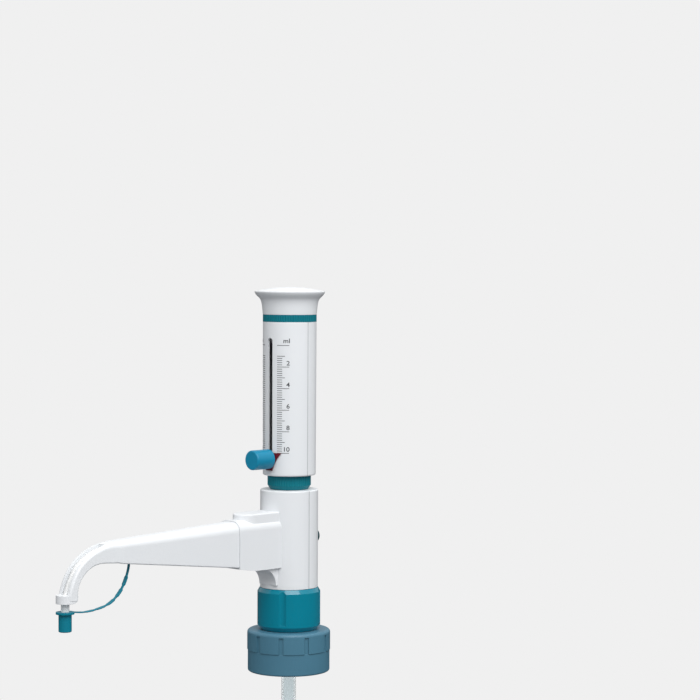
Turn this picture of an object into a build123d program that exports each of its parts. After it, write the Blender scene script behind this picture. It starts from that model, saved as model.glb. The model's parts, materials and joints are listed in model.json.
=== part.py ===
from build123d import *
import os

# Bottle-top dispenser, 10 ml. Millimetres, +Z up. The origin is the centre of the bottle
# adapter's lower opening, the piston runs along Z and the spout points along -Y.
# In the spout's tables a point is (reach from the axis along -Y, height).

# Bottle adapter: a screw cap for the bottle with a smaller neck on top
adapter_height = 26.0
adapter_radius = 25.4
adapter_band_radius = 25.75
adapter_band_height = 12.6
adapter_top_round = 2.0
adapter_foot_round = 1.2
bottle_thread_radius = 22.75
bottle_thread_depth = 20.0
notch_count = 10
notch_width = 2.8
notch_depth = 0.7
notch_top_margin = 2.4
neck_radius = 15.6
neck_bore_radius = 12.2
neck_height = 11.2
adapter_gasket_thickness = 1.6
adapter_gasket_bore_radius = 12.6

# Fits
running_gap = 0.05
seat_gap = 0.1
loose_gap = 0.3
body_gap = 0.2

# Collar nut
collar_height = 26.0
collar_radius = 19.5
collar_foot_radius = 17.5
collar_foot_height = 2.7
collar_bevel_radius = 18.0
collar_bevel_height = 2.5
collar_lip_thickness = 4.0
collar_recess_radius = 16.2
flute_count = 4
flute_width = 4.5
flute_depth = 0.9
flute_foot = 4.0
flute_turn = -55.0

# Valve block: a front and a rear shell round an inert core
block_radius = 17.95
block_height = 60.6
block_top_round = 0.9
block_register_radius = 15.9
block_register_height = 5.6
core_radius = 12.0
core_top_drop = 13.0
core_foot_radius = 9.5
core_passage_radius = 3.0
retainer_radius = 15.2
retainer_thickness = 3.0
seal_thickness = 1.0
seam_width = 2.0
seam_depth = 0.25
block_seam_turn = 5.5
sleeve_seam_turn = 2.0

# Spout box, lug and gusset on the front shell
box_half_width = 9.5
box_reach = 49.5
box_top = 97.0
box_foot_near = 66.0
box_foot_far = 68.0
box_corner_radius = 6.2
lug_half_width = 8.2
lug_reach = 35.9
lug_top = 100.4
lug_edge_round = 0.8
gusset_half_width = 7.5
gusset_radius = 11.0

# Spout: (reach, foot, top, half width, top corner radius) at both ends of the straight arm
spout_root_reach = 40.0
spout_arm_start = (box_reach, 68.8, 96.3, 8.8, 6.0)
spout_arm_end = (138.0, 79.3, 92.3, 6.8, 3.8)
# and round the bend: (inner reach, inner height, outer reach, outer height, half width, radius)
spout_bend = (
    (150.2, 80.5, 152.6, 89.6, 5.9, 2.4),
    (155.9, 80.0, 158.9, 86.7, 5.75, 1.9),
    (160.7, 78.0, 164.7, 82.7, 5.6, 1.4),
    (165.0, 74.3, 169.4, 77.4, 5.5, 1.2),
    (167.8, 70.3, 172.6, 72.0, 5.5, 1.2),
    (169.0, 65.8, 174.4, 67.0, 5.5, 1.2),
    (169.2, 60.9, 175.2, 61.5, 5.5, 1.2),
)
spout_bend_sections = 8
spout_foot_corner_radius = 0.8
spout_wall = 1.8
spout_cavity_reach = 147.0
channel_width = 5.7
channel_start_reach = 148.0
tip_radius = 5.3
tip_foot = 59.5
tip_top = 64.3
tip_back_reach = 169.0
tip_back_round = 3.2
spout_rib_reaches = (70.0, 95.0, 116.0)
spout_rib_thickness = 1.4

# Discharge line
discharge_height = 82.3
nozzle_reach = 174.3
nozzle_foot = 46.0
discharge_tube_radius = 2.4
discharge_tube_bore_radius = 1.3
discharge_tube_start = 36.0
discharge_route = (
    (discharge_tube_start, discharge_height),
    (60.0, discharge_height),
    (150.0, 88.0),
    (165.3, 79.7),
    (170.8, 69.9),
    (nozzle_reach, 60.5),
    (nozzle_reach, nozzle_foot),
)
discharge_bend_radii = (120.0, 28.0, 20.0, 40.0, 20.0)
valve_body_radius = 4.6
valve_body_shoulder = 34.0
valve_body_spigot_radius = 3.4
valve_body_reach = 44.0
valve_passage_radius = 1.5
discharge_ball_radius = 1.9
discharge_chamber_start = 22.0
ball_travel = 1.2

# Nozzle cap and strap
cap_flange_radius = 5.3
cap_flange_top = 54.7
cap_flange_thickness = 1.2
cap_radius = 3.75
cap_foot = 43.3
cap_floor = 1.9
strap_width = 3.0
strap_thickness = 0.8
strap_bend_radius = 24.3
strap_anchor_reach = 128.4
strap_eye_radius = 3.7

# Rear vent plug
vent_head_radius = 4.35
vent_head_length = 4.7
vent_shank_radius = 3.35

# Filling line
filling_body_radius = 6.0
filling_body_length = 12.0
filling_spigot_radius = 3.15
filling_spigot_length = 14.0
filling_ball_radius = 2.4
upper_tube_radius = 4.5
upper_tube_length = 131.0
upper_tube_bore_radius = 3.2
lower_tube_radius = 3.1
lower_tube_bore_radius = 2.2
lower_tube_top = -35.0
lower_tube_length = 150.0
tube_end_slant = 30.0

# Cylinder, guard and piston
glass_bore_radius = 6.95
glass_radius = 8.3
glass_length = 97.0
cylinder_gasket_thickness = 1.2
guard_radius = 11.0
guard_bore_radius = 8.6
stop_ring_radius = 14.3
stop_ring_height = 3.5
piston_stroke = 66.1
piston_core_radius = 5.4
piston_length = 11.0
piston_seal_radius = 6.9
piston_rod_radius = 3.2

# Sleeve
sleeve_foot = 121.8
sleeve_top = 216.6
sleeve_foot_radius = 16.4
sleeve_top_radius = 16.6
sleeve_wall = 1.4
sleeve_foot_round = 1.1
slot_width = 4.0
slot_foot = 128.5
slot_top = 206.8
ring_radius = 13.45
ring_foot_radius = 11.9
ring_chamfer_height = 2.5
ring_register_height = 3.5
band_height = 4.5
band_radius = 16.65
band_wall = 2.6
cap_profile = (
    (16.65, 0.0), (16.95, 3.0), (17.4, 6.6), (18.6, 9.8), (19.9, 11.1), (21.0, 12.3), (21.75, 13.6),
)
push_cap_crown = 2.7
push_cap_rim = 0.6
push_cap_wall = 2.2
rod_boss_radius = 5.5
rod_socket_depth = 8.0

# Volume setting: nut inside the sleeve, pointer and knob outside
knob_height = 132.4
nut_half_width = 5.0
nut_height = 10.0
stem_width = 3.6
stem_height = 7.4
pointer_top_rise = 3.9
pointer_half_width = 8.5
pointer_drop = 7.0
pointer_thickness = 0.7
stud_radius = 1.5
stud_end = 27.0
knob_radius = 6.05
knob_end = 31.8
knob_end_round = 0.9

# Heights that follow from the stack
collar_foot = adapter_height + body_gap
collar_top = collar_foot + collar_height
neck_top = adapter_height + neck_height
block_foot = collar_top + body_gap
block_top = block_foot + block_height
core_foot = neck_top + seal_thickness
retainer_top = core_foot + retainer_thickness
collar_lip_foot = retainer_top + seat_gap
collar_lip_top = collar_lip_foot + collar_lip_thickness
core_top = block_top - core_top_drop
glass_foot = core_top + cylinder_gasket_thickness
piston_foot = glass_foot + 1.0
ring_foot = block_top + body_gap
stop_ring_foot = knob_height + nut_height / 2 + piston_stroke + loose_gap
stop_ring_top = stop_ring_foot + stop_ring_height
band_top = sleeve_top + band_height
filling_body_foot = core_foot - 1.0
guard_gap_radius = guard_radius + loose_gap
sleeve_bore_radius = sleeve_foot_radius - sleeve_wall
pointer_radius = sleeve_top_radius + loose_gap
knob_start = pointer_radius + pointer_thickness + loose_gap / 2


def turned(outline):
    """Solid of revolution about Z from (radius, height) points."""
    return revolve(Plane.XZ * make_face(Polyline(*outline, close=True)), Axis.Z)


def ring(inner, outer, low, high):
    return turned(((inner, low), (outer, low), (outer, high), (inner, high)))


def rod(radius, low, high):
    return Pos(0, 0, (low + high) / 2) * Cylinder(radius, high - low)


def reach_rod(radius, start, end, height):
    """Cylinder along the spout's direction, from one reach to another."""
    return Pos(0, -(start + end) / 2, height) * Rot(90, 0, 0) * Cylinder(radius, abs(end - start))


def block_of(half_width, near, far, low, high):
    """Box across the spout's mid-plane between two reaches and two heights."""
    middle = Pos(0, -(near + far) / 2, (low + high) / 2)
    return middle * Box(2 * half_width, abs(far - near), high - low)


def side_plate(outline, half_width):
    """Plate across the mid-plane whose side view has the given (reach, height) corners."""
    face = Plane.YZ * make_face(Polyline(*[(-reach, z) for reach, z in outline], close=True))
    return extrude(face, half_width, both=True)


def around(count, tool, turn=0.0):
    return [Rot(0, 0, turn + 360 / count * i) * tool for i in range(count)]


def circles_at(solid, height):
    edges = solid.edges().filter_by(GeomType.CIRCLE)
    return [e for e in edges if abs(e.center().Z - height) < 0.01 and e.length > 1]


def widest(edges):
    longest = max(e.length for e in edges)
    return [e for e in edges if e.length > longest - 0.01]


def thread_adapter():
    band_foot = adapter_height - adapter_band_height
    skirt = turned((
        (bottle_thread_radius, 0), (adapter_radius, 0), (adapter_radius, band_foot),
        (adapter_band_radius, band_foot), (adapter_band_radius, adapter_height),
        (neck_radius, adapter_height), (neck_radius, neck_top), (neck_bore_radius, neck_top),
        (neck_bore_radius, bottle_thread_depth), (bottle_thread_radius, bottle_thread_depth),
    ))
    top_edge = widest(circles_at(skirt, adapter_height))
    skirt = fillet(top_edge, adapter_top_round)
    skirt = fillet(widest(circles_at(skirt, 0)), adapter_foot_round)
    notch_low = band_foot
    notch_high = adapter_height - notch_top_margin
    notch = Pos(adapter_band_radius, 0, (notch_low + notch_high) / 2)
    notch *= Box(2 * notch_depth, notch_width, notch_high - notch_low)
    return skirt - around(notch_count, notch, -90)


def adapter_gasket():
    foot = bottle_thread_depth - adapter_gasket_thickness
    return ring(adapter_gasket_bore_radius, bottle_thread_radius - seat_gap, foot, bottle_thread_depth)


def collar():
    bore = neck_radius + running_gap
    lip_bore = core_radius + loose_gap
    nut = turned((
        (bore, collar_foot), (collar_foot_radius, collar_foot),
        (collar_radius, collar_foot + collar_foot_height),
        (collar_radius, collar_top - collar_bevel_height), (collar_bevel_radius, collar_top),
        (collar_recess_radius, collar_top), (collar_recess_radius, collar_lip_top),
        (lip_bore, collar_lip_top), (lip_bore, collar_lip_foot), (bore, collar_lip_foot),
    ))
    cutter_radius = (flute_width**2 / 4 + flute_depth**2) / (2 * flute_depth)
    centre = collar_radius - flute_depth + cutter_radius
    foot = collar_foot + flute_foot
    flute = Pos(centre, 0, 0) * rod(cutter_radius, foot, collar_top + 1)
    return nut - around(flute_count, flute, flute_turn)


def spout_section(centre_reach, centre_height, up_reach, up_height, width, depth, corner, grow=0.0):
    """Rounded section across the spout; up is the direction of its outer side."""
    plane = Plane(origin=(0, -centre_reach, centre_height), x_dir=(1, 0, 0),
                  z_dir=(0, -up_height, -up_reach))
    outline = Rectangle(2 * (width + grow), depth + 2 * grow)
    outline = fillet(outline.vertices().group_by(Axis.Y)[-1], corner + grow)
    outline = fillet(outline.vertices().group_by(Axis.Y)[0], spout_foot_corner_radius)
    return plane * outline


def arm_row(reach):
    """Foot, top, half width and corner radius of the straight arm at a reach."""
    share = (reach - spout_arm_start[0]) / (spout_arm_end[0] - spout_arm_start[0])
    return [a + (b - a) * share for a, b in zip(spout_arm_start[1:], spout_arm_end[1:])]


def arm_section(reach, row, grow=0.0):
    foot, top, width, corner = row
    return spout_section(reach, (foot + top) / 2, 0, 1, width, top - foot, corner, grow)


def cavity_section(reach, row, thinning=0.0):
    """The arm's hollow, open below, at a reach."""
    foot, top, width, corner = row
    inner = (foot - 4, top - spout_wall + thinning, width - spout_wall + thinning,
             max(corner - spout_wall / 2, 1.0))
    return arm_section(reach, inner)


def bend_section(inner, outer, width, corner):
    """Section between a point of the bend's inner side and one of its outer side."""
    middle = (inner + outer) / 2
    up = (outer - inner).normalized()
    return spout_section(middle.X, middle.Y, up.X, up.Y, width, (outer - inner).length, corner)


def bend_sections():
    """Evenly spaced sections along smooth inner and outer sides, from the arm's end to the tip."""
    reach = spout_arm_end[0]
    foot, top, width, corner = spout_arm_end[1:]
    rows = ((reach, foot, reach, top, width, corner),) + spout_bend
    run = reach - spout_arm_start[0]
    foot_slope = (foot - spout_arm_start[1]) / run
    top_slope = (top - spout_arm_start[2]) / run
    inner = Spline(*[row[0:2] for row in rows], tangents=((1, foot_slope), (0, -1)))
    outer = Spline(*[row[2:4] for row in rows], tangents=((1, top_slope), (0, -1)))
    widths = Spline(*[(i, row[4]) for i, row in enumerate(rows)])
    corners = Spline(*[(i, row[5]) for i, row in enumerate(rows)])
    shares = [i / (spout_bend_sections - 1) for i in range(spout_bend_sections)]
    return [bend_section(inner @ u, outer @ u, (widths @ u).Y, (corners @ u).Y) for u in shares]


def discharge_path():
    points = [(0, -reach, z) for reach, z in discharge_route]
    return FilletPolyline(*points, radius=list(discharge_bend_radii))


def swept_round(radius):
    """Round bar along the discharge route."""
    start = Plane(origin=(0, -discharge_tube_start, discharge_height), x_dir=(1, 0, 0), z_dir=(0, -1, 0))
    return sweep(start * Circle(radius), path=discharge_path())


def spout_shell():
    root_row = spout_arm_start[1:]
    shell = loft([arm_section(spout_root_reach, root_row), arm_section(box_reach, root_row)])
    arm_end = arm_section(spout_arm_end[0], spout_arm_end[1:])
    shell += loft([arm_section(box_reach, root_row), arm_end])
    shell += loft(bend_sections())
    tip = Pos(0, -nozzle_reach, 0) * rod(tip_radius, tip_foot, tip_top)
    heel = block_of(tip_radius, tip_back_reach, nozzle_reach, tip_foot, tip_top)
    back_edge = heel.edges().filter_by(Axis.X).group_by(Axis.Z)[0].sort_by(Axis.Y)[-1]
    heel = fillet(back_edge, tip_back_round)
    shell += tip + heel

    ribs = []
    for reach in spout_rib_reaches:
        slab = block_of(20, reach, reach + spout_rib_thickness, 0, 120)
        ribs.append(shell & slab)
    shell -= loft([cavity_section(spout_root_reach - 1, root_row), cavity_section(box_reach, root_row)])
    hollow_end = arm_row(spout_cavity_reach)
    shell -= loft([cavity_section(box_reach, root_row), cavity_section(spout_cavity_reach, hollow_end)])
    for rib in ribs:
        shell += rib

    half = channel_width / 2
    start = Plane(origin=(0, -discharge_tube_start, discharge_height), x_dir=(1, 0, 0), z_dir=(0, -1, 0))
    outline = Circle(half) + Pos(0, 5) * Rectangle(channel_width, 10)
    channel = sweep(start * outline, path=discharge_path())
    shell -= channel & block_of(20, channel_start_reach, 190, tip_top, 120)
    return shell - swept_round(discharge_tube_radius + running_gap)


def block_solid():
    body = rod(block_radius, block_foot, block_top)
    body = fillet(widest(circles_at(body, block_top)), block_top_round)
    body += rod(block_register_radius, block_foot - block_register_height, block_foot)
    box = side_plate((
        (0, box_foot_near), (lug_reach, box_foot_near), (box_reach, box_foot_far),
        (box_reach, box_top), (0, box_top),
    ), box_half_width)
    long_edges = box.edges().filter_by(Axis.Y).group_by(Axis.Z)[-1]
    box = fillet(long_edges, box_corner_radius)
    lug = block_of(lug_half_width, 0, lug_reach, box_top - box_corner_radius, lug_top)
    lug += Pos(0, -lug_reach, 0) * rod(lug_half_width, box_top - box_corner_radius, lug_top)
    lug = fillet(lug.edges().group_by(Axis.Z)[-1], lug_edge_round)
    gusset_foot = box_foot_near - gusset_radius
    gusset_reach = block_radius + gusset_radius
    gusset = block_of(gusset_half_width, 0, gusset_reach, gusset_foot, box_foot_near)
    gusset -= Pos(0, -gusset_reach, gusset_foot) * Rot(0, 90, 0) * Cylinder(
        gusset_radius, 4 * gusset_half_width)
    return body + box + lug + gusset


def block_shells():
    body = block_solid()
    body -= rod(core_radius + seat_gap, collar_lip_foot - 5, core_top + seat_gap)
    body -= rod(guard_radius + seat_gap, core_top, block_top + 1)
    root_row = spout_arm_start[1:]
    body -= loft([arm_section(reach, root_row, seat_gap) for reach in (spout_root_reach, box_reach + 2)])
    body -= reach_rod(valve_body_radius + seat_gap, 0, spout_root_reach + 1, discharge_height)
    body -= reach_rod(vent_shank_radius + seat_gap, -30, 0, discharge_height)
    seam = Pos(block_radius, 0, (block_foot + block_top) / 2)
    seam *= Box(2 * seam_depth, seam_width, block_height + 2)
    body -= [Rot(0, 0, -block_seam_turn) * seam, Rot(0, 0, 180 + block_seam_turn) * seam]
    return split(body, Plane.XZ, keep=Keep.TOP), split(body, Plane.XZ, keep=Keep.BOTTOM)


def valve_core():
    core = turned((
        (0, core_foot), (core_foot_radius, core_foot), (core_foot_radius, retainer_top),
        (core_radius, retainer_top), (core_radius, core_top), (0, core_top),
    ))
    core -= rod(core_passage_radius / 2, core_foot, core_top + 1)
    core -= rod(filling_body_radius + running_gap, 0, filling_body_foot + filling_body_length + running_gap)
    core -= reach_rod(valve_passage_radius, 0, core_radius + 1, discharge_height)
    return core


def retaining_ring():
    return ring(core_foot_radius + running_gap, retainer_radius, core_foot, retainer_top)


def neck_seal():
    return ring(neck_bore_radius + loose_gap, neck_radius - loose_gap, neck_top, core_foot)


def filling_valve_body():
    top = filling_body_foot + filling_body_length
    chamber_foot = top - 2 * filling_ball_radius - ball_travel - 1.2
    spigot_foot = filling_body_foot - filling_spigot_length
    chamber = filling_ball_radius + loose_gap
    return turned((
        (valve_passage_radius, spigot_foot), (filling_spigot_radius, spigot_foot),
        (filling_spigot_radius, filling_body_foot), (filling_body_radius, filling_body_foot),
        (filling_body_radius, top), (chamber, top), (chamber, chamber_foot + 1.2),
        (valve_passage_radius, chamber_foot),
    ))


def filling_ball():
    top = filling_body_foot + filling_body_length
    return Pos(0, 0, top - filling_ball_radius - ball_travel - seat_gap) * Sphere(filling_ball_radius)


def upper_filling_tube():
    top = filling_body_foot - seat_gap
    return ring(upper_tube_bore_radius, upper_tube_radius, top - upper_tube_length, top)


def lower_filling_tube():
    foot = lower_tube_top - lower_tube_length
    tube = ring(lower_tube_bore_radius, lower_tube_radius, foot, lower_tube_top)
    cutter = Pos(0, 0, foot) * Rot(0, tube_end_slant, 0) * Pos(0, 0, -15) * Box(40, 40, 30)
    return tube - cutter


def discharge_valve_body():
    start = core_radius + seat_gap
    chamber = discharge_ball_radius + loose_gap
    chamber_end = discharge_chamber_start + 2 * discharge_ball_radius + ball_travel + seat_gap
    body = reach_rod(valve_body_radius, start, valve_body_shoulder, discharge_height)
    body += reach_rod(valve_body_spigot_radius, valve_body_shoulder, valve_body_reach, discharge_height)
    body -= reach_rod(valve_passage_radius, 0, valve_body_reach, discharge_height)
    body -= reach_rod(chamber, discharge_chamber_start, chamber_end, discharge_height)
    socket = discharge_tube_radius + running_gap
    return body - reach_rod(socket, discharge_tube_start - seat_gap, valve_body_reach + 1, discharge_height)


def discharge_ball():
    centre = discharge_chamber_start + discharge_ball_radius + seat_gap / 2
    return Pos(0, -centre, discharge_height) * Sphere(discharge_ball_radius)


def discharge_tube():
    return swept_round(discharge_tube_radius) - swept_round(discharge_tube_bore_radius)


def nozzle_cap():
    flange_foot = cap_flange_top - cap_flange_thickness
    bore = discharge_tube_radius + running_gap
    cap = turned((
        (0, cap_foot), (cap_radius, cap_foot), (cap_radius, flange_foot),
        (cap_flange_radius, flange_foot), (cap_flange_radius, cap_flange_top),
        (bore, cap_flange_top), (bore, cap_foot + cap_floor), (0, cap_foot + cap_floor),
    ))
    cap = fillet(circles_at(cap, cap_foot), 0.6)
    return Pos(0, -nozzle_reach, 0) * cap


def cap_strap():
    flange_middle = cap_flange_top - cap_flange_thickness / 2
    flange_reach = nozzle_reach - cap_flange_radius - body_gap
    bend_reach = strap_anchor_reach + strap_bend_radius
    bend_height = flange_middle + strap_bend_radius
    eye_height = tube_height_at(strap_anchor_reach)
    half = strap_thickness / 2
    band = Pos(0, -bend_reach, bend_height) * Rot(0, 90, 0) * (
        Cylinder(strap_bend_radius + half, strap_width) - Cylinder(strap_bend_radius - half, strap_width))
    band &= block_of(10, strap_anchor_reach - 2, bend_reach, flange_middle - 2, bend_height)
    band += block_of(strap_width / 2, bend_reach, flange_reach, flange_middle - half, flange_middle + half)
    tail_top = eye_height - discharge_tube_radius - seat_gap
    band += block_of(strap_width / 2, strap_anchor_reach - half, strap_anchor_reach + half,
                     bend_height, tail_top)
    eye = reach_rod(strap_eye_radius, strap_anchor_reach - 1.5, strap_anchor_reach + 1.5, eye_height)
    band += eye
    return band - swept_round(discharge_tube_radius + running_gap)


def tube_height_at(reach):
    """Height of the discharge route at a reach on its long straight run."""
    (start, low), (end, high) = discharge_route[1:3]
    return low + (high - low) * (reach - start) / (end - start)


def vent_plug():
    head_start = block_radius + seat_gap
    shank = reach_rod(vent_shank_radius, -core_radius - loose_gap, -head_start, discharge_height)
    head = reach_rod(vent_head_radius, -head_start, -head_start - vent_head_length, discharge_height)
    outer = head.edges().group_by(Axis.Y)[-1]
    return shank + fillet(outer, 0.8)


def glass_cylinder():
    return ring(glass_bore_radius, glass_radius, glass_foot, glass_foot + glass_length)


def cylinder_gasket():
    return ring(glass_bore_radius + loose_gap, glass_radius, core_top, glass_foot)


def cylinder_guard():
    return ring(guard_bore_radius, guard_radius, core_top + seat_gap, stop_ring_top)


def stop_ring():
    return ring(guard_radius + running_gap, stop_ring_radius, stop_ring_foot, stop_ring_top)


def piston_head():
    head = rod(piston_core_radius, piston_foot, piston_foot + piston_length)
    return fillet(head.edges().group_by(Axis.Z)[0], 0.8)


def piston_seal():
    low = piston_foot + 1.5
    high = piston_foot + piston_length - 2.0
    middle = (low + high) / 2
    waist = piston_seal_radius - 0.5
    return turned((
        (piston_core_radius + running_gap, low), (piston_seal_radius, low),
        (piston_seal_radius, low + 1.6), (waist, middle), (piston_seal_radius, high - 1.6),
        (piston_seal_radius, high), (piston_core_radius + running_gap, high),
    ))


def piston_rod():
    return rod(piston_rod_radius, piston_foot + piston_length, push_cap_ceiling() - seat_gap)


def push_cap_ceiling():
    """Underside of the push cap's top wall."""
    return band_top + cap_profile[-1][1] - push_cap_wall


def push_cap():
    side = [(radius, band_top + rise) for radius, rise in cap_profile]
    rim_radius, rim_height = side[-1]
    top = rim_height + push_cap_rim
    flare = Spline(*side)
    crown = TangentArc((0, top + push_cap_crown), (rim_radius, top), tangent=(1, 0))
    bore = cap_profile[0][0] - push_cap_wall
    ceiling = push_cap_ceiling()
    rod_bore = piston_rod_radius + running_gap
    boss_foot = ceiling - rod_socket_depth
    inside = Polyline(
        (0, top + push_cap_crown), (0, ceiling), (rod_bore, ceiling), (rod_bore, boss_foot),
        (rod_boss_radius, boss_foot), (rod_boss_radius, ceiling), (bore, ceiling),
        (bore, band_top), side[0],
    )
    rim = Line((rim_radius, rim_height), (rim_radius, top))
    return revolve(Plane.XZ * make_face(Curve() + [flare, rim, crown, inside]), Axis.Z)


def top_band():
    return ring(band_radius - band_wall, band_radius, sleeve_top, band_top)


def lower_ring():
    bore = guard_gap_radius
    register = sleeve_bore_radius - running_gap
    return turned((
        (bore, ring_foot), (ring_foot_radius, ring_foot),
        (ring_radius, ring_foot + ring_chamfer_height), (ring_radius, sleeve_foot),
        (register, sleeve_foot), (register, sleeve_foot + ring_register_height),
        (bore, sleeve_foot + ring_register_height),
    ))


def sleeve_shells():
    sleeve = turned((
        (sleeve_bore_radius, sleeve_foot), (sleeve_foot_radius, sleeve_foot),
        (sleeve_top_radius, sleeve_top), (sleeve_bore_radius, sleeve_top),
    ))
    sleeve = fillet(widest(circles_at(sleeve, sleeve_foot)), sleeve_foot_round)
    half = slot_width / 2
    slot = block_of(half, 0, 30, slot_foot + half, slot_top - half)
    slot += reach_rod(half, 0, 30, slot_foot + half) + reach_rod(half, 0, 30, slot_top - half)
    sleeve -= slot
    seam = Pos(sleeve_top_radius, 0, (sleeve_foot + sleeve_top) / 2)
    seam *= Box(2 * seam_depth, seam_width, sleeve_top - sleeve_foot + 2)
    sleeve -= [Rot(0, 0, sleeve_seam_turn) * seam, Rot(0, 0, 180 - sleeve_seam_turn) * seam]
    return split(sleeve, Plane.XZ, keep=Keep.TOP), split(sleeve, Plane.XZ, keep=Keep.BOTTOM)


def slider_nut():
    low = knob_height - nut_height / 2
    pad = rod(sleeve_bore_radius - loose_gap, low, low + nut_height)
    pad &= block_of(nut_half_width, guard_gap_radius, 20, low, low + nut_height)
    half = stem_width / 2
    rise = stem_height / 2 - half
    stem = block_of(half, guard_gap_radius, 20, knob_height - rise, knob_height + rise)
    stem += reach_rod(half, guard_gap_radius, 20, knob_height - rise)
    stem += reach_rod(half, guard_gap_radius, 20, knob_height + rise)
    stem &= rod(pointer_radius, low, low + nut_height)
    return pad + stem - reach_rod(stud_radius, 0, 30, knob_height)


def knob_stud():
    return reach_rod(stud_radius, guard_gap_radius, stud_end, knob_height)


def pointer_plate():
    top = knob_height + pointer_top_rise
    foot = knob_height - pointer_drop
    hollow = ThreePointArc((pointer_half_width, top), (5.2, knob_height - 1.0), (2.6, foot))
    outline = Curve() + [
        Line((-pointer_half_width, top), (pointer_half_width, top)), hollow,
        Line((2.6, foot), (-2.6, foot)),
        ThreePointArc((-2.6, foot), (-5.2, knob_height - 1.0), (-pointer_half_width, top)),
    ]
    shield = extrude(Plane.XZ * make_face(outline), 30)
    plate = ring(pointer_radius, pointer_radius + pointer_thickness, foot - 1, top + 1)
    return (plate & shield) - reach_rod(stud_radius, 0, 30, knob_height)


def knob():
    body = reach_rod(knob_radius, knob_start, knob_end, knob_height)
    body = fillet(body.edges().group_by(Axis.Y)[0], knob_end_round)
    return body - reach_rod(stud_radius + running_gap, 0, stud_end + loose_gap, knob_height)


def main():
    block_front, block_rear = block_shells()
    front_shell, rear_shell = sleeve_shells()
    nodes = {
        "thread_adapter": thread_adapter(),
        "adapter_gasket": adapter_gasket(),
        "collar": collar(),
        "block_front": block_front,
        "block_rear": block_rear,
        "valve_core": valve_core(),
        "retaining_ring": retaining_ring(),
        "neck_seal": neck_seal(),
        "filling_valve_body": filling_valve_body(),
        "filling_ball": filling_ball(),
        "upper_filling_tube": upper_filling_tube(),
        "lower_filling_tube": lower_filling_tube(),
        "discharge_valve_body": discharge_valve_body(),
        "discharge_ball": discharge_ball(),
        "discharge_tube": discharge_tube(),
        "spout_shell": spout_shell(),
        "nozzle_cap": nozzle_cap(),
        "cap_strap": cap_strap(),
        "vent_plug": vent_plug(),
        "glass_cylinder": glass_cylinder(),
        "cylinder_gasket": cylinder_gasket(),
        "cylinder_guard": cylinder_guard(),
        "stop_ring": stop_ring(),
        "piston_head": piston_head(),
        "piston_seal": piston_seal(),
        "piston_rod": piston_rod(),
        "push_cap": push_cap(),
        "top_band": top_band(),
        "lower_ring": lower_ring(),
        "front_shell": front_shell,
        "rear_shell": rear_shell,
        "slider_nut": slider_nut(),
        "knob_stud": knob_stud(),
        "pointer_plate": pointer_plate(),
        "knob": knob(),
    }
    os.makedirs("parts", exist_ok=True)
    for name, solid in nodes.items():
        export_step(solid, f"parts/{name}.step")


main()
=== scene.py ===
import json
import math

import bmesh
import bpy
import numpy as np
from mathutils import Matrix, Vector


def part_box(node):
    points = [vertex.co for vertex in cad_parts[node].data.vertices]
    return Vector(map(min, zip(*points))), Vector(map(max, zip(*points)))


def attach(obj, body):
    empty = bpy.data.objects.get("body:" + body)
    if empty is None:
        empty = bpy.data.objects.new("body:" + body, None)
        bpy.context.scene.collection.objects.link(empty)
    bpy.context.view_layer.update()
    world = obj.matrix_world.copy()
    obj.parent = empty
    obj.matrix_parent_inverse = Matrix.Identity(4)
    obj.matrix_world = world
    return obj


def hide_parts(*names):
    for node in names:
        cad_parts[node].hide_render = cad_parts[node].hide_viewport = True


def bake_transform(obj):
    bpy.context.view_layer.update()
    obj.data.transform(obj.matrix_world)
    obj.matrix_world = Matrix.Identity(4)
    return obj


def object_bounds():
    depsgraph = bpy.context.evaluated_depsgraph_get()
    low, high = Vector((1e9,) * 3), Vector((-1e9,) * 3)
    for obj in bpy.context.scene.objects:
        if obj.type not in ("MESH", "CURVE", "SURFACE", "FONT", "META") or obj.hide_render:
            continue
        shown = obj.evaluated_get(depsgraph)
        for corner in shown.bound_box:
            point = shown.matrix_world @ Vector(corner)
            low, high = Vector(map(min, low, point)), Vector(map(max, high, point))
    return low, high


mm = 0.001
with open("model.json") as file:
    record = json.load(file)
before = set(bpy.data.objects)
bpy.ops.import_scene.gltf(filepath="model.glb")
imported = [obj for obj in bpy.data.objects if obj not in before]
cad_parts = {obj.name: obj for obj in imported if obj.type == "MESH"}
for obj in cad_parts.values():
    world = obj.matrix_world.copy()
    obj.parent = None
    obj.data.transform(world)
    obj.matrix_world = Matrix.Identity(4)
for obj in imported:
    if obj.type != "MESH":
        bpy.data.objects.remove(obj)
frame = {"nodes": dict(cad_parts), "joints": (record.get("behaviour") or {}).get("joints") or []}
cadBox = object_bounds()
nodes = frame["nodes"]
joints = {joint["name"]: joint for joint in frame["joints"]}
print("frame:", len(nodes), "nodes")


def linear(hexColour):
    # sRGB hex to linear: c / 12.92 where dark, else ((c + 0.055) / 1.055) to the power 2.4
    channels = np.array([int(hexColour[i:i + 2], 16) for i in (1, 3, 5)]) / 255
    bright = ((channels + 0.055) / 1.055) ** 2.4
    return (*np.where(channels < 0.04045, channels / 12.92, bright), 1.0)


def addNode(tree, kind, inputs=None, **settings):
    # one node: settings are its properties; an input is a value, or an output that links to it
    node = tree.nodes.new(kind)
    for name, value in settings.items():
        setattr(node, name, value)
    for name, value in (inputs or {}).items():
        if isinstance(value, bpy.types.NodeSocket):
            tree.links.new(value, node.inputs[name])
        else:
            node.inputs[name].default_value = value
    return node


def newMaterial(name):
    # a material with an empty node tree, and that tree
    material = bpy.data.materials.new(name)
    material.use_nodes = True
    material.node_tree.nodes.clear()
    return material, material.node_tree


# Camera, floor and light

view = {
    "focalPixels": 2230, "framePixels": 700, "sensor": 36,
    "place": (1.0012, -0.9487, 0.2499), "turn": 45, "pitch": -2.106, "roll": -0.245,
}


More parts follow.
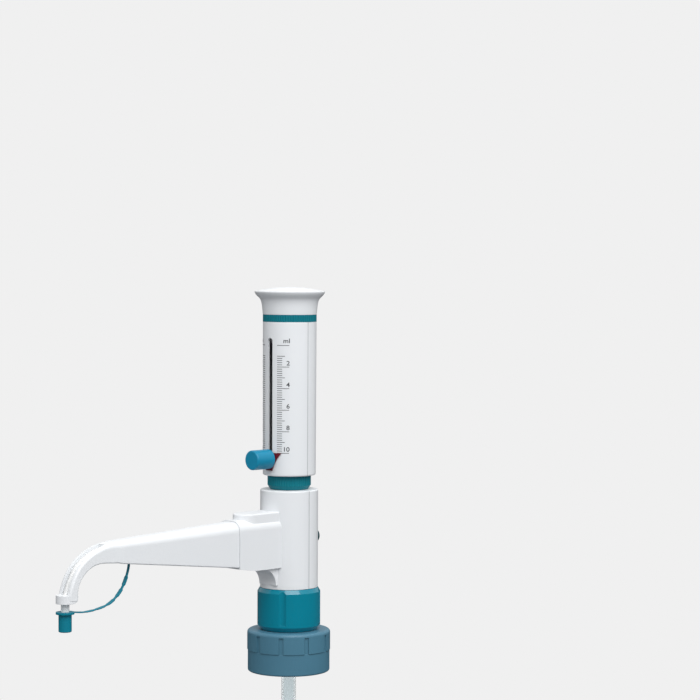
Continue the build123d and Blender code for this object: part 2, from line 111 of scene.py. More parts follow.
def addCamera():
    # focal length = sensor width * focal length in pixels / frame width in pixels
    data = bpy.data.cameras.new("camera")
    data.sensor_width = view["sensor"]
    data.lens = view["sensor"] * view["focalPixels"] / view["framePixels"]
    data.clip_end = 50
    camera = bpy.data.objects.new("camera", data)
    camera.location = view["place"]
    camera.rotation_euler = np.radians((90 + view["pitch"], view["roll"], view["turn"]))
    bpy.context.collection.objects.link(camera)
    bpy.context.scene.camera = camera


softboxes = {  # degrees and metres; level 1 makes a white card facing the lamp render white
    "keyBox": {"azimuth": 68, "elevation": 48, "away": 1.5, "size": (1.2, 0.9), "level": 0.66},
    "topBox": {"azimuth": 45, "elevation": 84, "away": 1.3, "size": (1.1, 1.1), "level": 0.06},
}


def addSoftbox(name, look, target):
    # the lamp sits on a sphere round the target; power = level * pi squared * distance squared
    data = bpy.data.lights.new(name, "AREA")
    data.shape = "RECTANGLE"
    data.size, data.size_y = look["size"]
    data.energy = look["level"] * (math.pi * look["away"]) ** 2
    azimuth = math.radians(look["azimuth"])
    elevation = math.radians(look["elevation"])
    lamp = bpy.data.objects.new(name, data)
    lamp.location = target + look["away"] * np.array((
        math.sin(azimuth) * math.cos(elevation), -math.cos(azimuth) * math.cos(elevation),
        math.sin(elevation)))
    lamp.rotation_euler = (math.pi / 2 - elevation, 0, azimuth)
    bpy.context.collection.objects.link(lamp)


# the dome is brighter towards the key's side, and reflections show a dimmed backdrop; each rise
# is the pair of heights on the unit sphere that its levels run between
studio = {
    "backdrop": "#F0F0F0", "sky": "#FFFFFF", "ground": "#DDE0E4", "domeRise": (-0.4, 0.8),
    "skyLevel": 1.05, "groundLevel": 0.32, "sideShare": 0.2,
    "glossLow": 0.06, "glossHigh": 0.7, "glossRise": (0, 0.25),
}


def addWorld():
    # camera, clear parts and reflections see the pale backdrop, which is dimmed in reflections, most
    # of all below the horizon; all else gets a soft dome of light whose strength = level at that
    # height * (1 + side share * cosine of the angle to the key)
    world = bpy.data.worlds.new("studio")
    world.use_nodes = True
    tree = world.node_tree
    tree.nodes.clear()
    rays = addNode(tree, "ShaderNodeLightPath").outputs
    direction = addNode(tree, "ShaderNodeTexCoord").outputs["Generated"]
    height = addNode(tree, "ShaderNodeSeparateXYZ", {0: direction}).outputs["Z"]
    rise = addNode(tree, "ShaderNodeMapRange", {
        "Value": height, "From Min": studio["domeRise"][0], "From Max": studio["domeRise"][1]})
    dome = addNode(tree, "ShaderNodeMix", {
        0: rise.outputs[0], 6: linear(studio["ground"]), 7: linear(studio["sky"])}, data_type="RGBA")
    level = addNode(tree, "ShaderNodeMapRange", {
        "Value": rise.outputs[0], "To Min": studio["groundLevel"], "To Max": studio["skyLevel"]})
    keyTurn = math.radians(softboxes["keyBox"]["azimuth"])
    side = addNode(tree, "ShaderNodeVectorMath", {
        0: direction, 1: (math.sin(keyTurn), -math.cos(keyTurn), 0)}, operation="DOT_PRODUCT")
    sideLevel = addNode(tree, "ShaderNodeMapRange", {
        "Value": side.outputs["Value"], "From Min": -1,
        "To Min": 1 - studio["sideShare"], "To Max": 1 + studio["sideShare"]})
    strength = addNode(tree, "ShaderNodeMath", {
        0: level.outputs[0], 1: sideLevel.outputs[0]}, operation="MULTIPLY")
    fill = addNode(tree, "ShaderNodeBackground", {
        "Color": dome.outputs[2], "Strength": strength.outputs[0]})
    dimmed = addNode(tree, "ShaderNodeMapRange", {
        "Value": height, "From Min": studio["glossRise"][0], "From Max": studio["glossRise"][1],
        "To Min": studio["glossLow"], "To Max": studio["glossHigh"]})
    paleLevel = addNode(tree, "ShaderNodeMapRange", {
        "Value": mirrorShare(tree, rays), "To Min": 1, "To Max": dimmed.outputs[0]})
    pale = addNode(tree, "ShaderNodeBackground", {
        "Color": linear(studio["backdrop"]), "Strength": paleLevel.outputs[0]})
    mixed = addNode(tree, "ShaderNodeMixShader", {
        0: backdropShare(tree, rays), 1: fill.outputs[0], 2: pale.outputs[0]})
    addNode(tree, "ShaderNodeOutputWorld", {"Surface": mixed.outputs[0]})
    bpy.context.scene.world = world


def backdropShare(tree, rays):
    # all of it for the camera, through clear parts and in reflections, none for plain light
    seen = addNode(tree, "ShaderNodeMath", {
        0: rays["Is Camera Ray"], 1: rays["Is Transmission Ray"]}, operation="MAXIMUM")
    share = addNode(tree, "ShaderNodeMath", {
        0: seen.outputs[0], 1: rays["Is Glossy Ray"]}, operation="MAXIMUM")
    return share.outputs[0]


def mirrorShare(tree, rays):
    # true reflections only, because a ray through rough glass is marked glossy as well
    share = addNode(tree, "ShaderNodeMath", {
        0: rays["Is Glossy Ray"], 1: rays["Is Transmission Ray"]}, operation="SUBTRACT", use_clamp=True)
    return share.outputs[0]


floorLook = {  # mm; it looks pale, gives back less light than that, and reflections find it dark
    "height": -240, "near": 300, "far": 900, "radius": 9000, "hub": 0.02, "rings": 24,
    "corners": 96, "seen": "#CDCECF", "paint": "#858688", "mirrored": "#3C3C3D",
}


def floorMaterial():
    # painted studio floor: it takes the shadow near the object and is plain backdrop further away
    material, tree = newMaterial("studioFloor")
    place = addNode(tree, "ShaderNodeTexCoord").outputs["Object"]
    flat = addNode(tree, "ShaderNodeVectorMath", {0: place, 1: (1, 1, 0)}, operation="MULTIPLY")
    reach = addNode(tree, "ShaderNodeVectorMath", {0: flat.outputs[0]}, operation="LENGTH")
    distance = addNode(tree, "ShaderNodeMapRange", {
        "Value": reach.outputs["Value"], "From Min": floorLook["near"] * mm,
        "From Max": floorLook["far"] * mm}, interpolation_type="SMOOTHSTEP")
    rays = addNode(tree, "ShaderNodeLightPath").outputs
    far = addNode(tree, "ShaderNodeMath", {
        0: backdropShare(tree, rays), 1: distance.outputs[0]}, operation="MULTIPLY")
    mirrored = mirrorShare(tree, rays)
    given = addNode(tree, "ShaderNodeMix", {
        0: mirrored, 6: linear(floorLook["paint"]), 7: linear(floorLook["mirrored"])},
        data_type="RGBA")
    colour = addNode(tree, "ShaderNodeMix", {
        0: rays["Is Camera Ray"], 6: given.outputs[2], 7: linear(floorLook["seen"])},
        data_type="RGBA")
    paint = addNode(tree, "ShaderNodeBsdfDiffuse", {"Color": colour.outputs[2]})
    paleLevel = addNode(tree, "ShaderNodeMapRange", {
        "Value": mirrored, "To Min": 1, "To Max": studio["glossLow"]})
    pale = addNode(tree, "ShaderNodeEmission", {
        "Color": linear(studio["backdrop"]), "Strength": paleLevel.outputs[0]})
    mixed = addNode(tree, "ShaderNodeMixShader", {
        0: far.outputs[0], 1: paint.outputs[0], 2: pale.outputs[0]})
    addNode(tree, "ShaderNodeOutputMaterial", {"Surface": mixed.outputs[0]})
    return material


# Mesh helpers


def gridFaces(rows, columns, closeRows=False, closeColumns=False):
    # quads between neighbouring rows and columns of points numbered row by row
    row, column = np.meshgrid(np.arange(rows if closeRows else rows - 1),
                              np.arange(columns if closeColumns else columns - 1), indexing="ij")
    nextRow = (row + 1) % rows
    nextColumn = (column + 1) % columns
    quads = np.stack((row * columns + column, row * columns + nextColumn,
                      nextRow * columns + nextColumn, nextRow * columns + column), -1)
    return quads.reshape(-1, 4)


def carried(path, across, along, profile):
    # a profile carried along a path: point = path point + profile x * across + profile y * along
    return (path[:, None] + profile[..., 0:1] * across[:, None] + profile[..., 1:2] * along[:, None])


def closedBar(points):
    # faces of a bar whose rows are closed rings of points, with a flat face on each end
    rows, columns = points.shape[:2]
    ends = [list(range(columns)), list(range((rows - 1) * columns, rows * columns))]
    return gridFaces(rows, columns, closeColumns=True).tolist() + ends


weldDistance = 0.001  # mm; points nearer than this are one


def addPiece(name, points, faces, material, sharpAngle=40):
    # a mesh at the origin; its faces are turned outwards and its edges past the angle stay sharp
    mesh = bpy.data.meshes.new(name)
    mesh.from_pydata(np.reshape(points, (-1, 3)).tolist(), [], faces)
    shell = bmesh.new()
    shell.from_mesh(mesh)
    bmesh.ops.remove_doubles(shell, verts=shell.verts, dist=weldDistance * mm)
    bmesh.ops.recalc_face_normals(shell, faces=shell.faces)
    shell.to_mesh(mesh)
    shell.free()
    mesh.polygons.foreach_set("use_smooth", np.ones(len(mesh.polygons), bool))
    mesh.set_sharp_from_angle(angle=math.radians(sharpAngle))
    mesh.materials.append(material)
    piece = bpy.data.objects.new(name, mesh)
    bpy.context.collection.objects.link(piece)
    return piece


def addFloor():
    # a disc: point = (r cos a, r sin a), where r = radius * share squared, so the rings widen
    # outwards, and one flat face closes the hub
    share = np.linspace(floorLook["hub"], 1, floorLook["rings"])[:, None]
    radii = floorLook["radius"] * mm * share ** 2
    angles = np.linspace(0, 2 * math.pi, floorLook["corners"], endpoint=False)[None]
    height = floorLook["height"] * mm + 0 * (radii + angles)
    points = np.stack((radii * np.cos(angles), radii * np.sin(angles), height), -1)
    hub = [list(range(floorLook["corners"]))]
    faces = gridFaces(*height.shape, closeColumns=True).tolist() + hub
    floor = addPiece("studio_floor", points, faces, floorMaterial())


addCamera()
addWorld()
addFloor()
bpy.context.scene.view_settings.view_transform = "Standard"
middle = np.array(cadBox).mean(0)
for name, look in softboxes.items():
    addSoftbox(name, look, middle)
print("studio: camera, floor, world and", len(softboxes), "softboxes")


# Materials. The sizes of clouds and grain are in mm.


def seamShade(tree, place, colour, seam):
    # the hairline where two shells meet on the plane y = 0: full dark while |y| < half its width
    side = addNode(tree, "ShaderNodeSeparateXYZ", {0: place}).outputs["Y"]
    away = addNode(tree, "ShaderNodeMath", {0: side}, operation="ABSOLUTE")
    inside = addNode(tree, "ShaderNodeMapRange", {
        "Value": away.outputs[0], "From Min": seam["width"] * mm / 2, "From Max": seam["width"] * mm,
        "To Min": 1, "To Max": 0})
    dark = addNode(tree, "ShaderNodeMix", {
        0: inside.outputs[0], 6: colour, 7: linear(seam["colour"])}, data_type="RGBA")
    return dark.outputs[2]


moulding = {  # shared by all moulded finishes; the grain's depth is in mm
    "cloudDetail": 3, "grainDetail": 2, "grainSpread": (0.3, 0.7), "grainDepth": 0.1,
    "bevelSamples": 4,
}


def moulded(name, look):
    # a coloured-through moulding: two close shades in slow clouds, and the tool's fine grain in
    # both bump and gloss; the bevel rounds the highlights of its edges
    material, tree = newMaterial(name)
    place = addNode(tree, "ShaderNodeTexCoord").outputs["Object"]
    clouds = addNode(tree, "ShaderNodeTexNoise", {
        "Vector": place, "Scale": 1 / (look["cloud"] * mm), "Detail": moulding["cloudDetail"]})
    shade = addNode(tree, "ShaderNodeMix", {
        0: clouds.outputs[0], 6: linear(look["colour"]), 7: linear(look["shade"])},
        data_type="RGBA").outputs[2]
    if "seam" in look:
        shade = seamShade(tree, place, shade, look["seam"])
    grain = addNode(tree, "ShaderNodeTexNoise", {
        "Vector": place, "Scale": 1 / (look["grain"] * mm), "Detail": moulding["grainDetail"]})
    gloss = addNode(tree, "ShaderNodeMapRange", {
        "Value": grain.outputs[0], "From Min": moulding["grainSpread"][0],
        "From Max": moulding["grainSpread"][1],
        "To Min": look["rough"][0], "To Max": look["rough"][1]})
    edge = addNode(
        tree, "ShaderNodeBevel", {"Radius": look["edge"] * mm}, samples=moulding["bevelSamples"])
    bump = addNode(tree, "ShaderNodeBump", {
        "Height": grain.outputs[0], "Strength": look["bump"],
        "Distance": moulding["grainDepth"] * mm, "Normal": edge.outputs[0]})
    surface = addNode(tree, "ShaderNodeBsdfPrincipled", {
        "Base Color": shade, "Roughness": gloss.outputs[0], "Normal": bump.outputs[0],
        "IOR": look["ior"], "Specular IOR Level": look["specular"],
        "Coat Weight": look["coat"], "Coat Roughness": look["coatRough"]})
    addNode(tree, "ShaderNodeOutputMaterial", {"Surface": surface.outputs[0]})
    return material


# ABS moulded in a fine-blasted tool: a clean satin white that shades softly
absWhite = {
    "colour": "#E6E8EA", "shade": "#E2E5E8", "cloud": 40, "grain": 0.9, "rough": (0.34, 0.42),
    "bump": 0.05, "edge": 0.25, "ior": 1.53, "specular": 0.4, "coat": 0, "coatRough": 0.1,
}
# the same ABS on the four shells, with the hairline where the front and rear ones meet
absShell = {**absWhite, "seam": {"width": 0.35, "colour": "#B4B7BA"}}
# polypropylene moulded in a polished tool: deep teal with a wet-looking gloss
ppGloss = {
    "colour": "#008299", "shade": "#00798E", "cloud": 25, "grain": 1.4, "rough": (0.2, 0.26),
    "bump": 0.02, "edge": 0.35, "ior": 1.49, "specular": 0.3, "coat": 0.6, "coatRough": 0.06,
}
# the same polypropylene from a matt tool, on the ribbed rings
ppSatin = {
    "colour": "#027685", "shade": "#026D7A", "cloud": 20, "grain": 0.8, "rough": (0.38, 0.46),
    "bump": 0.05, "edge": 0.1, "ior": 1.49, "specular": 0.25, "coat": 0, "coatRough": 0.1,
}
# a softer polypropylene with a waxy skin, for the cap and its strap
ppSoft = {
    "colour": "#007C92", "shade": "#007286", "cloud": 12, "grain": 0.7, "rough": (0.36, 0.46),
    "bump": 0.06, "edge": 0.2, "ior": 1.49, "specular": 0.3, "coat": 0, "coatRough": 0.1,
}
# the plug at the back, a much darker teal: painted shade, the plug's teal darkened because it sits on
# the shadow side
plugPaintedShade = {
    "colour": "#0E3F48", "shade": "#0C3840", "cloud": 8, "grain": 0.6, "rough": (0.4, 0.5),
    "bump": 0.08, "edge": 0.3, "ior": 1.5, "specular": 0.3, "coat": 0, "coatRough": 0.1,
}
# ABS from a spark-eroded tool: the knob's blue with a soft sheen, easy on the fingers
absKnob = {
    "colour": "#0688AC", "shade": "#057FA2", "cloud": 14, "grain": 0.6, "rough": (0.3, 0.4),
    "bump": 0.1, "edge": 0.3, "ior": 1.53, "specular": 0.45, "coat": 0, "coatRough": 0.1,
}
# glass-filled polypropylene: the adapter's dusty grey blue, dulled by the fibres at its skin
ppFilled = {
    "colour": "#4A7B91", "shade": "#45748A", "cloud": 18, "grain": 0.7, "rough": (0.36, 0.48),
    "bump": 0.12, "edge": 0.5, "ior": 1.5, "specular": 0.45, "coat": 0, "coatRough": 0.1,
}
# red ABS pointer with a satin skin
absRed = {
    "colour": "#6E1524", "shade": "#62111F", "cloud": 8, "grain": 0.6, "rough": (0.34, 0.42),
    "bump": 0.05, "edge": 0.15, "ior": 1.53, "specular": 0.3, "coat": 0, "coatRough": 0.1,
}
# grey polypropylene of the guard tube, matt from wear against the sleeve
ppGrey = {
    "colour": "#6E6D72", "shade": "#67666B", "cloud": 15, "grain": 0.8, "rough": (0.42, 0.55),
    "bump": 0.08, "edge": 0.2, "ior": 1.49, "specular": 0.35, "coat": 0, "coatRough": 0.1,
}
# PTFE turned from rod: chalky white with a waxy sheen
ptfeWhite = {
    "colour": "#E9E9E4", "shade": "#E1E1DC", "cloud": 9, "grain": 0.5, "rough": (0.45, 0.55),
    "bump": 0.08, "edge": 0.15, "ior": 1.35, "specular": 0.5, "coat": 0, "coatRough": 0.1,
}
# silicone rubber of the seals: near black, slightly dusty
siliconeSeal = {
    "colour": "#2B2B2D", "shade": "#343437", "cloud": 6, "grain": 0.5, "rough": (0.55, 0.7),
    "bump": 0.1, "edge": 0.15, "ior": 1.41, "specular": 0.4, "coat": 0, "coatRough": 0.1,
}


def clearTube(name, look):
    # light passes through with a faint tint; a little of it is scattered back as haze
    material, tree = newMaterial(name)
    place = addNode(tree, "ShaderNodeTexCoord").outputs["Object"]
    streaks = addNode(tree, "ShaderNodeTexNoise", {
        "Vector": place, "Scale": 1 / (look["streak"] * mm), "Detail": 2})
    rough = addNode(tree, "ShaderNodeMapRange", {
        "Value": streaks.outputs[0], "To Min": look["rough"][0], "To Max": look["rough"][1]})
    clear = addNode(tree, "ShaderNodeBsdfPrincipled", {
        "Base Color": linear(look["colour"]), "Roughness": rough.outputs[0], "IOR": look["ior"],
        "Transmission Weight": look["clear"]})
    addNode(tree, "ShaderNodeOutputMaterial", {"Surface": clear.outputs[0]})
    return material


# FEP tube, extruded: clear with a bluish haze, grey where its wall is seen edge on
fepTube = {"colour": "#EDF4F6", "streak": 3, "rough": (0.04, 0.12), "ior": 1.34, "clear": 0.92}
# PTFE tube, paste-extruded: milky, so light comes through it but no picture does
ptfeTube = {"colour": "#FAFBFB", "streak": 4, "rough": (0.36, 0.46), "ior": 1.35, "clear": 0.25}
# borosilicate, drawn and ground: quite clear
borosilicate = {"colour": "#F4FAF8", "streak": 9, "rough": (0.0, 0.03), "ior": 1.473, "clear": 1.0}


def brass(name, look):
    # a turned stud: fine rings across its length in bump and gloss
    material, tree = newMaterial(name)
    place = addNode(tree, "ShaderNodeTexCoord").outputs["Object"]
    marks = addNode(tree, "ShaderNodeTexWave", {
        "Vector": place, "Scale": 1 / (look["ring"] * mm), "Distortion": look["wobble"]},
        bands_direction="Y")
    rough = addNode(tree, "ShaderNodeMapRange", {
        "Value": marks.outputs[1], "To Min": look["rough"][0], "To Max": look["rough"][1]})
    bump = addNode(tree, "ShaderNodeBump", {
        "Height": marks.outputs[1], "Strength": look["bump"], "Distance": look["depth"] * mm})
    metal = addNode(tree, "ShaderNodeBsdfPrincipled", {
        "Base Color": linear(look["colour"]), "Metallic": 1, "Roughness": rough.outputs[0],
        "Normal": bump.outputs[0]})
    addNode(tree, "ShaderNodeOutputMaterial", {"Surface": metal.outputs[0]})
    return material


# free-cutting brass, turned: warm yellow with fine tool rings
turnedBrass = {
    "colour": "#C8A050", "ring": 0.4, "wobble": 0.6, "rough": (0.2, 0.35), "bump": 0.15, "depth": 0.05,
}

finishes = {
    "absWhite": (moulded("absWhite", absWhite), ("spout_shell", "push_cap", "piston_rod")),
    "absShell": (moulded("absShell", absShell),
                 ("block_front", "block_rear", "front_shell", "rear_shell")),
    "ppGloss": (moulded("ppGloss", ppGloss), ("collar",)),
    "ppSatin": (moulded("ppSatin", ppSatin), ("top_band", "lower_ring")),
    # the vent plug wears its teal darkened to painted shade
    "plugPaintedShade": (moulded("plugPaintedShade", plugPaintedShade), ("vent_plug",)),
    "ppSoft": (moulded("ppSoft", ppSoft), ("nozzle_cap", "cap_strap")),
    "absKnob": (moulded("absKnob", absKnob), ("knob",)),
    "ppFilled": (moulded("ppFilled", ppFilled), ("thread_adapter",)),
    "absRed": (moulded("absRed", absRed), ("pointer_plate",)),
    "ppGrey": (moulded("ppGrey", ppGrey), ("cylinder_guard", "stop_ring", "slider_nut")),
    "ptfeWhite": (moulded("ptfeWhite", ptfeWhite),
                  ("valve_core", "filling_valve_body", "discharge_valve_body", "piston_head",
                   "piston_seal", "retaining_ring")),
    "siliconeSeal": (moulded("siliconeSeal", siliconeSeal),
                     ("adapter_gasket", "neck_seal", "cylinder_gasket")),
    "fepTube": (clearTube("fepTube", fepTube), ("upper_filling_tube", "lower_filling_tube")),
    "ptfeTube": (clearTube("ptfeTube", ptfeTube), ("discharge_tube",)),
    "borosilicate": (clearTube("borosilicate", borosilicate),
                     ("glass_cylinder", "filling_ball", "discharge_ball")),
    "turnedBrass": (brass("turnedBrass", turnedBrass), ("knob_stud",)),
}


def dressNodes():
    # each node wears the one finish that names it, in every slot it has
    for material, names in finishes.values():
        for name in names:
            slots = nodes[name].material_slots
            if not slots:
                nodes[name].data.materials.append(material)
            for slot in slots:
                slot.material = material


dressNodes()
print("materials:", len(finishes))


# The scale on the sleeve

scale = {  # mm and degrees round the sleeve from the middle of the slot
    "volumes": 10, "stepsPerVolume": 5, "firstVolume": 1, "taper": 0.2, "proud": 0.04,
    "start": 19, "short": 30.6, "medium": 36.5, "long": 46, "line": 0.32, "lineSteps": 9,
    "digitHeight": 2.8, "digitRise": 1.0, "digitEdge": 47, "unitHeight": 2.8, "unitRise": 1.4,
    "wide": 1.12, "bold": 0.012, "curveSteps": 4,
}

# pad-printed ink on ABS: dense dark grey with the paler specks of a thin coat; specks in mm
padPrintLook = {
    "colour": "#2F3336", "shade": "#45494C", "speck": 0.5, "spread": (0.35, 0.7), "rough": 0.5,
}


def inkMaterial(look):
    # colour = a mix of the ink's two shades by a fine noise, stretched between its spread
    material, tree = newMaterial("padPrintInk")
    place = addNode(tree, "ShaderNodeTexCoord").outputs["Object"]
    specks = addNode(tree, "ShaderNodeTexNoise", {
        "Vector": place, "Scale": 1 / (look["speck"] * mm), "Detail": 2})
    tone = addNode(tree, "ShaderNodeMapRange", {
        "Value": specks.outputs[0], "From Min": look["spread"][0], "From Max": look["spread"][1]})
    ink = addNode(tree, "ShaderNodeMix", {
        0: tone.outputs[0], 6: linear(look["colour"]), 7: linear(look["shade"])},
        data_type="RGBA")
    surface = addNode(tree, "ShaderNodeBsdfPrincipled", {
        "Base Color": ink.outputs[2], "Roughness": look["rough"]})
    addNode(tree, "ShaderNodeOutputMaterial", {"Surface": surface.outputs[0]})
    return material


sleeveLow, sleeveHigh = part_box("front_shell")
mmPerVolume = joints["sleeve_lift"]["range_m"][1] / scale["volumes"]
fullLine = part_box("pointer_plate")[1].z


def volumeHeight(volume):
    # the pointer's top edge stands on the full line at rest, and the lines rise as volumes fall
    return fullLine + (scale["volumes"] - volume) * mmPerVolume


def sleeveRadius(height):
    # straight taper: the radius grows by the taper from the sleeve's foot to its top
    share = (height - sleeveLow.z) / (sleeveHigh.z - sleeveLow.z)
    return sleeveHigh.x - (1 - share) * scale["taper"] * mm


def onSleeve(angle, height, rise):
    # point = ((radius + rise) sin a, -(radius + rise) cos a, height), a from the slot's middle
    radius = sleeveRadius(height) + rise
    return np.stack((radius * np.sin(angle), -radius * np.cos(angle), height + 0 * angle), -1)


def scaleLines(ink):
    # each line is a thin curved bar: its ring of four corners is carried from angle to angle
    steps = np.arange(scale["firstVolume"] * scale["stepsPerVolume"],
                      scale["volumes"] * scale["stepsPerVolume"] + 1)
    ends = np.where(steps % scale["stepsPerVolume"], scale["short"],
                    np.where(steps // scale["stepsPerVolume"] % 2, scale["medium"], scale["long"]))
    heights = np.append(volumeHeight(steps / scale["stepsPerVolume"]), volumeHeight(0))
    ends = np.append(ends, scale["long"])
    share = np.linspace(0, 1, scale["lineSteps"])
    angles = np.radians(scale["start"] + (ends[:, None] - scale["start"]) * share)
    angles = np.concatenate((angles, -angles))[:, :, None]
    heights = np.concatenate((heights, heights))[:, None, None]
    half = scale["line"] * mm / 2
    up = np.array((-half, half, half, -half))
    out = np.array((-1, -1, 1, 1)) * scale["proud"] * mm
    points = onSleeve(angles + 0 * up, heights + up + 0 * angles, out)
    corners = len(share) * len(up)
    faces = np.array(closedBar(points[0])) + corners * np.arange(len(points))[:, None, None]
    piece = addPiece("scale_lines", points, faces.reshape(-1, 4).tolist(), ink)
    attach(piece, "sleeve")


def textShape(words, height):
    # a text's flat solid, as tall as its digits or its tallest letter, with x from 0 to its
    # width and z from -0.5 to 0.5
    curve = bpy.data.curves.new("words", "FONT")
    curve.body = words
    curve.extrude = 0.5
    curve.offset = scale["bold"]
    curve.resolution_u = scale["curveSteps"]
    holder = bpy.data.objects.new("words", curve)
    mesh = bpy.data.meshes.new_from_object(holder)
    points = np.empty(len(mesh.vertices) * 3, np.float32)
    mesh.vertices.foreach_get("co", points)
    points = points.reshape(-1, 3)
    faces = [list(face.vertices) for face in mesh.polygons]
    low = points.min(0)
    points[:, :2] = (points[:, :2] - low[:2]) * height / (points[:, 1].max() - low[1])
    points[:, 0] *= scale["wide"]
    bpy.data.objects.remove(holder)
    return points, faces


def wrappedText(words, height, base, side):
    # flat text bent onto the sleeve: angle = start + x / radius, so that its outer edge stands at
    # the digits' edge, and its rise runs from under the sleeve's skin to what stands proud
    points, faces = textShape(words, height * mm)
    radius = sleeveRadius(base)
    edge = math.radians(scale["digitEdge"]) * side
    start = edge - points[:, 0].max() / radius if side > 0 else edge
    rise = 2 * scale["proud"] * mm * points[:, 2]
    return onSleeve(start + points[:, 0] / radius, base + points[:, 1], rise), faces


def scaleNumbers(ink):
    # even volumes beside their long lines, and the unit over the top line, on both sides
    rows = [(str(v), scale["digitHeight"], volumeHeight(v) + scale["digitRise"] * mm)
            for v in range(2, scale["volumes"] + 1, 2)]
    rows.append(("ml", scale["unitHeight"], volumeHeight(0) + scale["unitRise"] * mm))
    for words, height, base in rows:
        for side, label in ((1, "right"), (-1, "left")):
            points, faces = wrappedText(words, height, base, side)
            piece = addPiece(f"scale_{words}_{label}", points, faces, ink)
            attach(piece, "sleeve")


# The nozzle cap's strap

strap = {  # mm; the sag's points are (along the spout, up) from the middle of the eye
    "width": 3.0, "neckWidth": 1.8, "thickness": 0.8, "tail": 12, "pad": 6, "pitch": 8,
    "padRise": 2.5, "squareness": 0.5, "steps": 160, "corners": 24,
    "eyeRadius": 3.7, "eyeBore": 2.45, "eyeWidth": 3.0, "eyeSteps": 48, "inFlange": 0.5,
    "sag": ((0, -2.9), (-0.5, -6), (-0.5, -9.6), (0.3, -12.9), (1.9, -17.5), (4.3, -22), (7.9, -26.4),
            (13.7, -30.5), (20.1, -32.3), (27.3, -33.3), (33.6, -33.5)),
}
strapLow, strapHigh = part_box("cap_strap")


def roundedRoute(points, rounds=4):
    # corner cutting: each run is kept from its first to its third quarter, and the ends stay
    for _ in range(rounds):
        near = 0.75 * points[:-1] + 0.25 * points[1:]
        far = 0.25 * points[:-1] + 0.75 * points[1:]
        points = np.concatenate((points[:1], np.stack((near, far), 1).reshape(-1, 2), points[-1:]))
    return points


def evenSteps(points, count):
    # the same line, as a count of points at equal distances along it, and those distances
    runs = np.linalg.norm(np.diff(points, axis=0), axis=1)
    ends = np.append(0, np.cumsum(runs))
    along = np.linspace(0, ends[-1], count)
    return np.stack([np.interp(along, ends, points[:, i]) for i in (0, 1)], -1), along


def roundedSquare(circle):
    # a circle's coordinates pushed out into a square: each keeps its sign and takes the power
    return np.sign(circle) * np.abs(circle) ** strap["squareness"]


def addStrap(material):
    # a rounded flat bar carried along the sag; past its plain tail the width swells into pads:
    # width = neck + (full - neck) * a cosine wave, cut off above so that each pad is long and flat
    eye = np.array((strap["eyeWidth"] / 2 - strapHigh.y / mm, strapHigh.z / mm - strap["eyeRadius"]))
    flange = np.array((-strapLow.y / mm + strap["inFlange"], strapLow.z / mm + strap["thickness"] / 2))
    route = roundedRoute(np.append(eye + strap["sag"], flange[None], 0))
    line, along = evenSteps(route, strap["steps"])
    ahead = np.gradient(line, axis=0)
    ahead /= np.linalg.norm(ahead, axis=1)[:, None]
    path = np.stack((0 * along, -line[:, 0], line[:, 1]), -1) * mm
    out = np.stack((0 * along, ahead[:, 1], ahead[:, 0]), -1)
    edge = math.cos(math.pi * strap["pad"] / strap["pitch"])
    wave = np.cos(2 * math.pi * (along - strap["tail"] - strap["pitch"] / 2) / strap["pitch"]) - edge
    swell = np.where(along > strap["tail"], np.clip(strap["padRise"] * wave, 0, 1), 0)
    halfWidth = (strap["neckWidth"] + (strap["width"] - strap["neckWidth"]) * swell) / 2
    halfSize = np.stack((halfWidth, 0 * along + strap["thickness"] / 2), -1)
    angle = np.linspace(0, 2 * math.pi, strap["corners"], endpoint=False)
    section = roundedSquare(np.stack((np.cos(angle), np.sin(angle)), -1))
    profile = section[None] * halfSize[:, None] * mm
    across = np.broadcast_to(np.array((1.0, 0, 0)), path.shape)
    points = carried(path, across, out, profile)
    piece = addPiece("strap", points, closedBar(points), material, sharpAngle=60)
    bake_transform(piece)
    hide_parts("cap_strap")
    return eye


def addStrapEye(material, eye):
    # the eye round the tube: a rounded oblong section turned about the spout's direction
    angle = np.linspace(0, 2 * math.pi, strap["eyeSteps"], endpoint=False)[:, None]
    turn = np.linspace(0, 2 * math.pi, strap["corners"], endpoint=False)[None]
    wall = (strap["eyeRadius"] - strap["eyeBore"]) / 2
    radius = strap["eyeBore"] + wall + wall * roundedSquare(np.cos(turn))
    along = strap["eyeWidth"] / 2 * roundedSquare(np.sin(turn))
    points = np.stack((radius * np.cos(angle), -eye[0] - along + 0 * angle,
                       eye[1] + radius * np.sin(angle)), -1) * mm
    faces = gridFaces(strap["eyeSteps"], strap["corners"], True, True).tolist()
    piece = addPiece("strap_eye", points, faces, material)
    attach(piece, "block")


strapMaterial = finishes["ppSoft"][0]
strapEye = addStrap(strapMaterial)
addStrapEye(strapMaterial, strapEye)
print("strap: a padded band from the eye in the arm to the cap's flange")


# The ribbed rings at the sleeve's ends

rings = {  # mm; a profile point is (radius, height over the ring's foot, share of the rib's depth)
    "top_band": {"ribs": 64, "depth": 0.3, "profile": (
        (14.05, 0, 0), (16.5, 0, 1), (16.65, 0.15, 1), (16.65, 4.35, 1), (16.5, 4.5, 1),
        (14.05, 4.5, 0))},
    "lower_ring": {"ribs": 52, "depth": 0.25, "profile": (
        (11.3, 0, 0), (11.9, 0, 0), (13.45, 2.5, 0.3), (13.45, 2.8, 1), (13.45, 8.6, 1),
        (14.95, 8.6, 0), (14.95, 12.1, 0), (11.3, 12.1, 0))},
}
stepsPerRib = 8
groovePower = 4  # the higher it is, the narrower the grooves


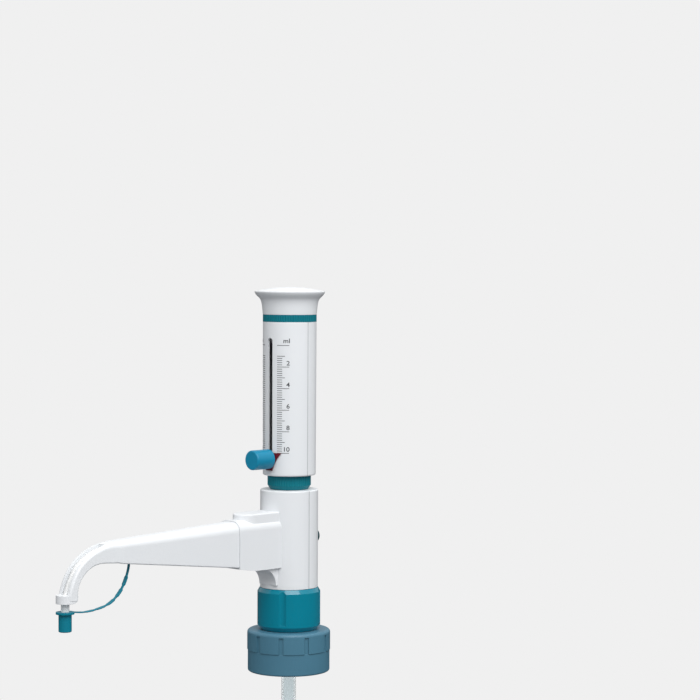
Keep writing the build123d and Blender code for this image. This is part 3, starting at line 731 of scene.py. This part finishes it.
def addRibbedRing(node, look, material):
    # radius = profile radius - share * depth * ((1 - cos(ribs * angle)) / 2) to the groove's
    # power, so the ribs are wide and flat, with narrow grooves between them
    radius, height, share = np.array(look["profile"]).T
    angle = np.linspace(0, 2 * math.pi, look["ribs"] * stepsPerRib, endpoint=False)[:, None]
    groove = ((1 - np.cos(look["ribs"] * angle)) / 2) ** groovePower
    radius = radius - share * look["depth"] * groove
    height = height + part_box(node)[0].z / mm + 0 * angle
    points = np.stack((radius * np.cos(angle), radius * np.sin(angle), height), -1) * mm
    faces = gridFaces(len(angle), len(look["profile"]), True, True).tolist()
    piece = addPiece(node + "_ribs", points, faces, material, sharpAngle=35)
    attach(piece, "sleeve")
    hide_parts(node)


for node, look in rings.items():
    addRibbedRing(node, look, finishes["ppSatin"][0])
print("rings:", len(rings), "with ribs")


# The thread in the adapter, cut to fit a 45 mm bottle neck

thread = {  # mm and turns; the ridge fades in and out over a part of a turn
    "bore": 22.75, "pitch": 4, "turns": 1.75, "foot": 3.4, "height": 1.1, "base": 2.3,
    "crest": 1.1, "root": 0.1, "fade": 0.12, "steps": 180,
}


def addThread(material):
    # a ridge on a helix: height above its start = pitch * turns so far; its section is a low
    # flat-topped bank that stands in from the bore, with its root in the wall, and its height
    # fades to nothing at both ends
    turns = np.linspace(0, thread["turns"], thread["steps"])
    fade = np.clip(np.minimum(turns, thread["turns"] - turns) / thread["fade"], 0, 1)
    height = thread["height"] * np.sin(fade * math.pi / 2)
    sides = np.array((-thread["base"], -thread["crest"], thread["crest"], thread["base"])) / 2
    depth = np.array((-thread["root"], 1, 1, -thread["root"]))
    radius = thread["bore"] - np.where(depth > 0, height[:, None] * depth, depth)
    angle = 2 * math.pi * turns[:, None] + 0 * radius
    rise = thread["foot"] + thread["pitch"] * turns[:, None] + sides
    points = np.stack((radius * np.cos(angle), radius * np.sin(angle), rise), -1) * mm
    piece = addPiece("bottle_thread", points, closedBar(points), material, sharpAngle=30)
    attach(piece, "adapter")


addThread(finishes["ppFilled"][0])
print("thread: a ridge of", thread["turns"], "turns in the adapter")

padPrintInk = inkMaterial(padPrintLook)
scaleLines(padPrintInk)
scaleNumbers(padPrintInk)
print("scale: lines and numbers on both sides of the slot")
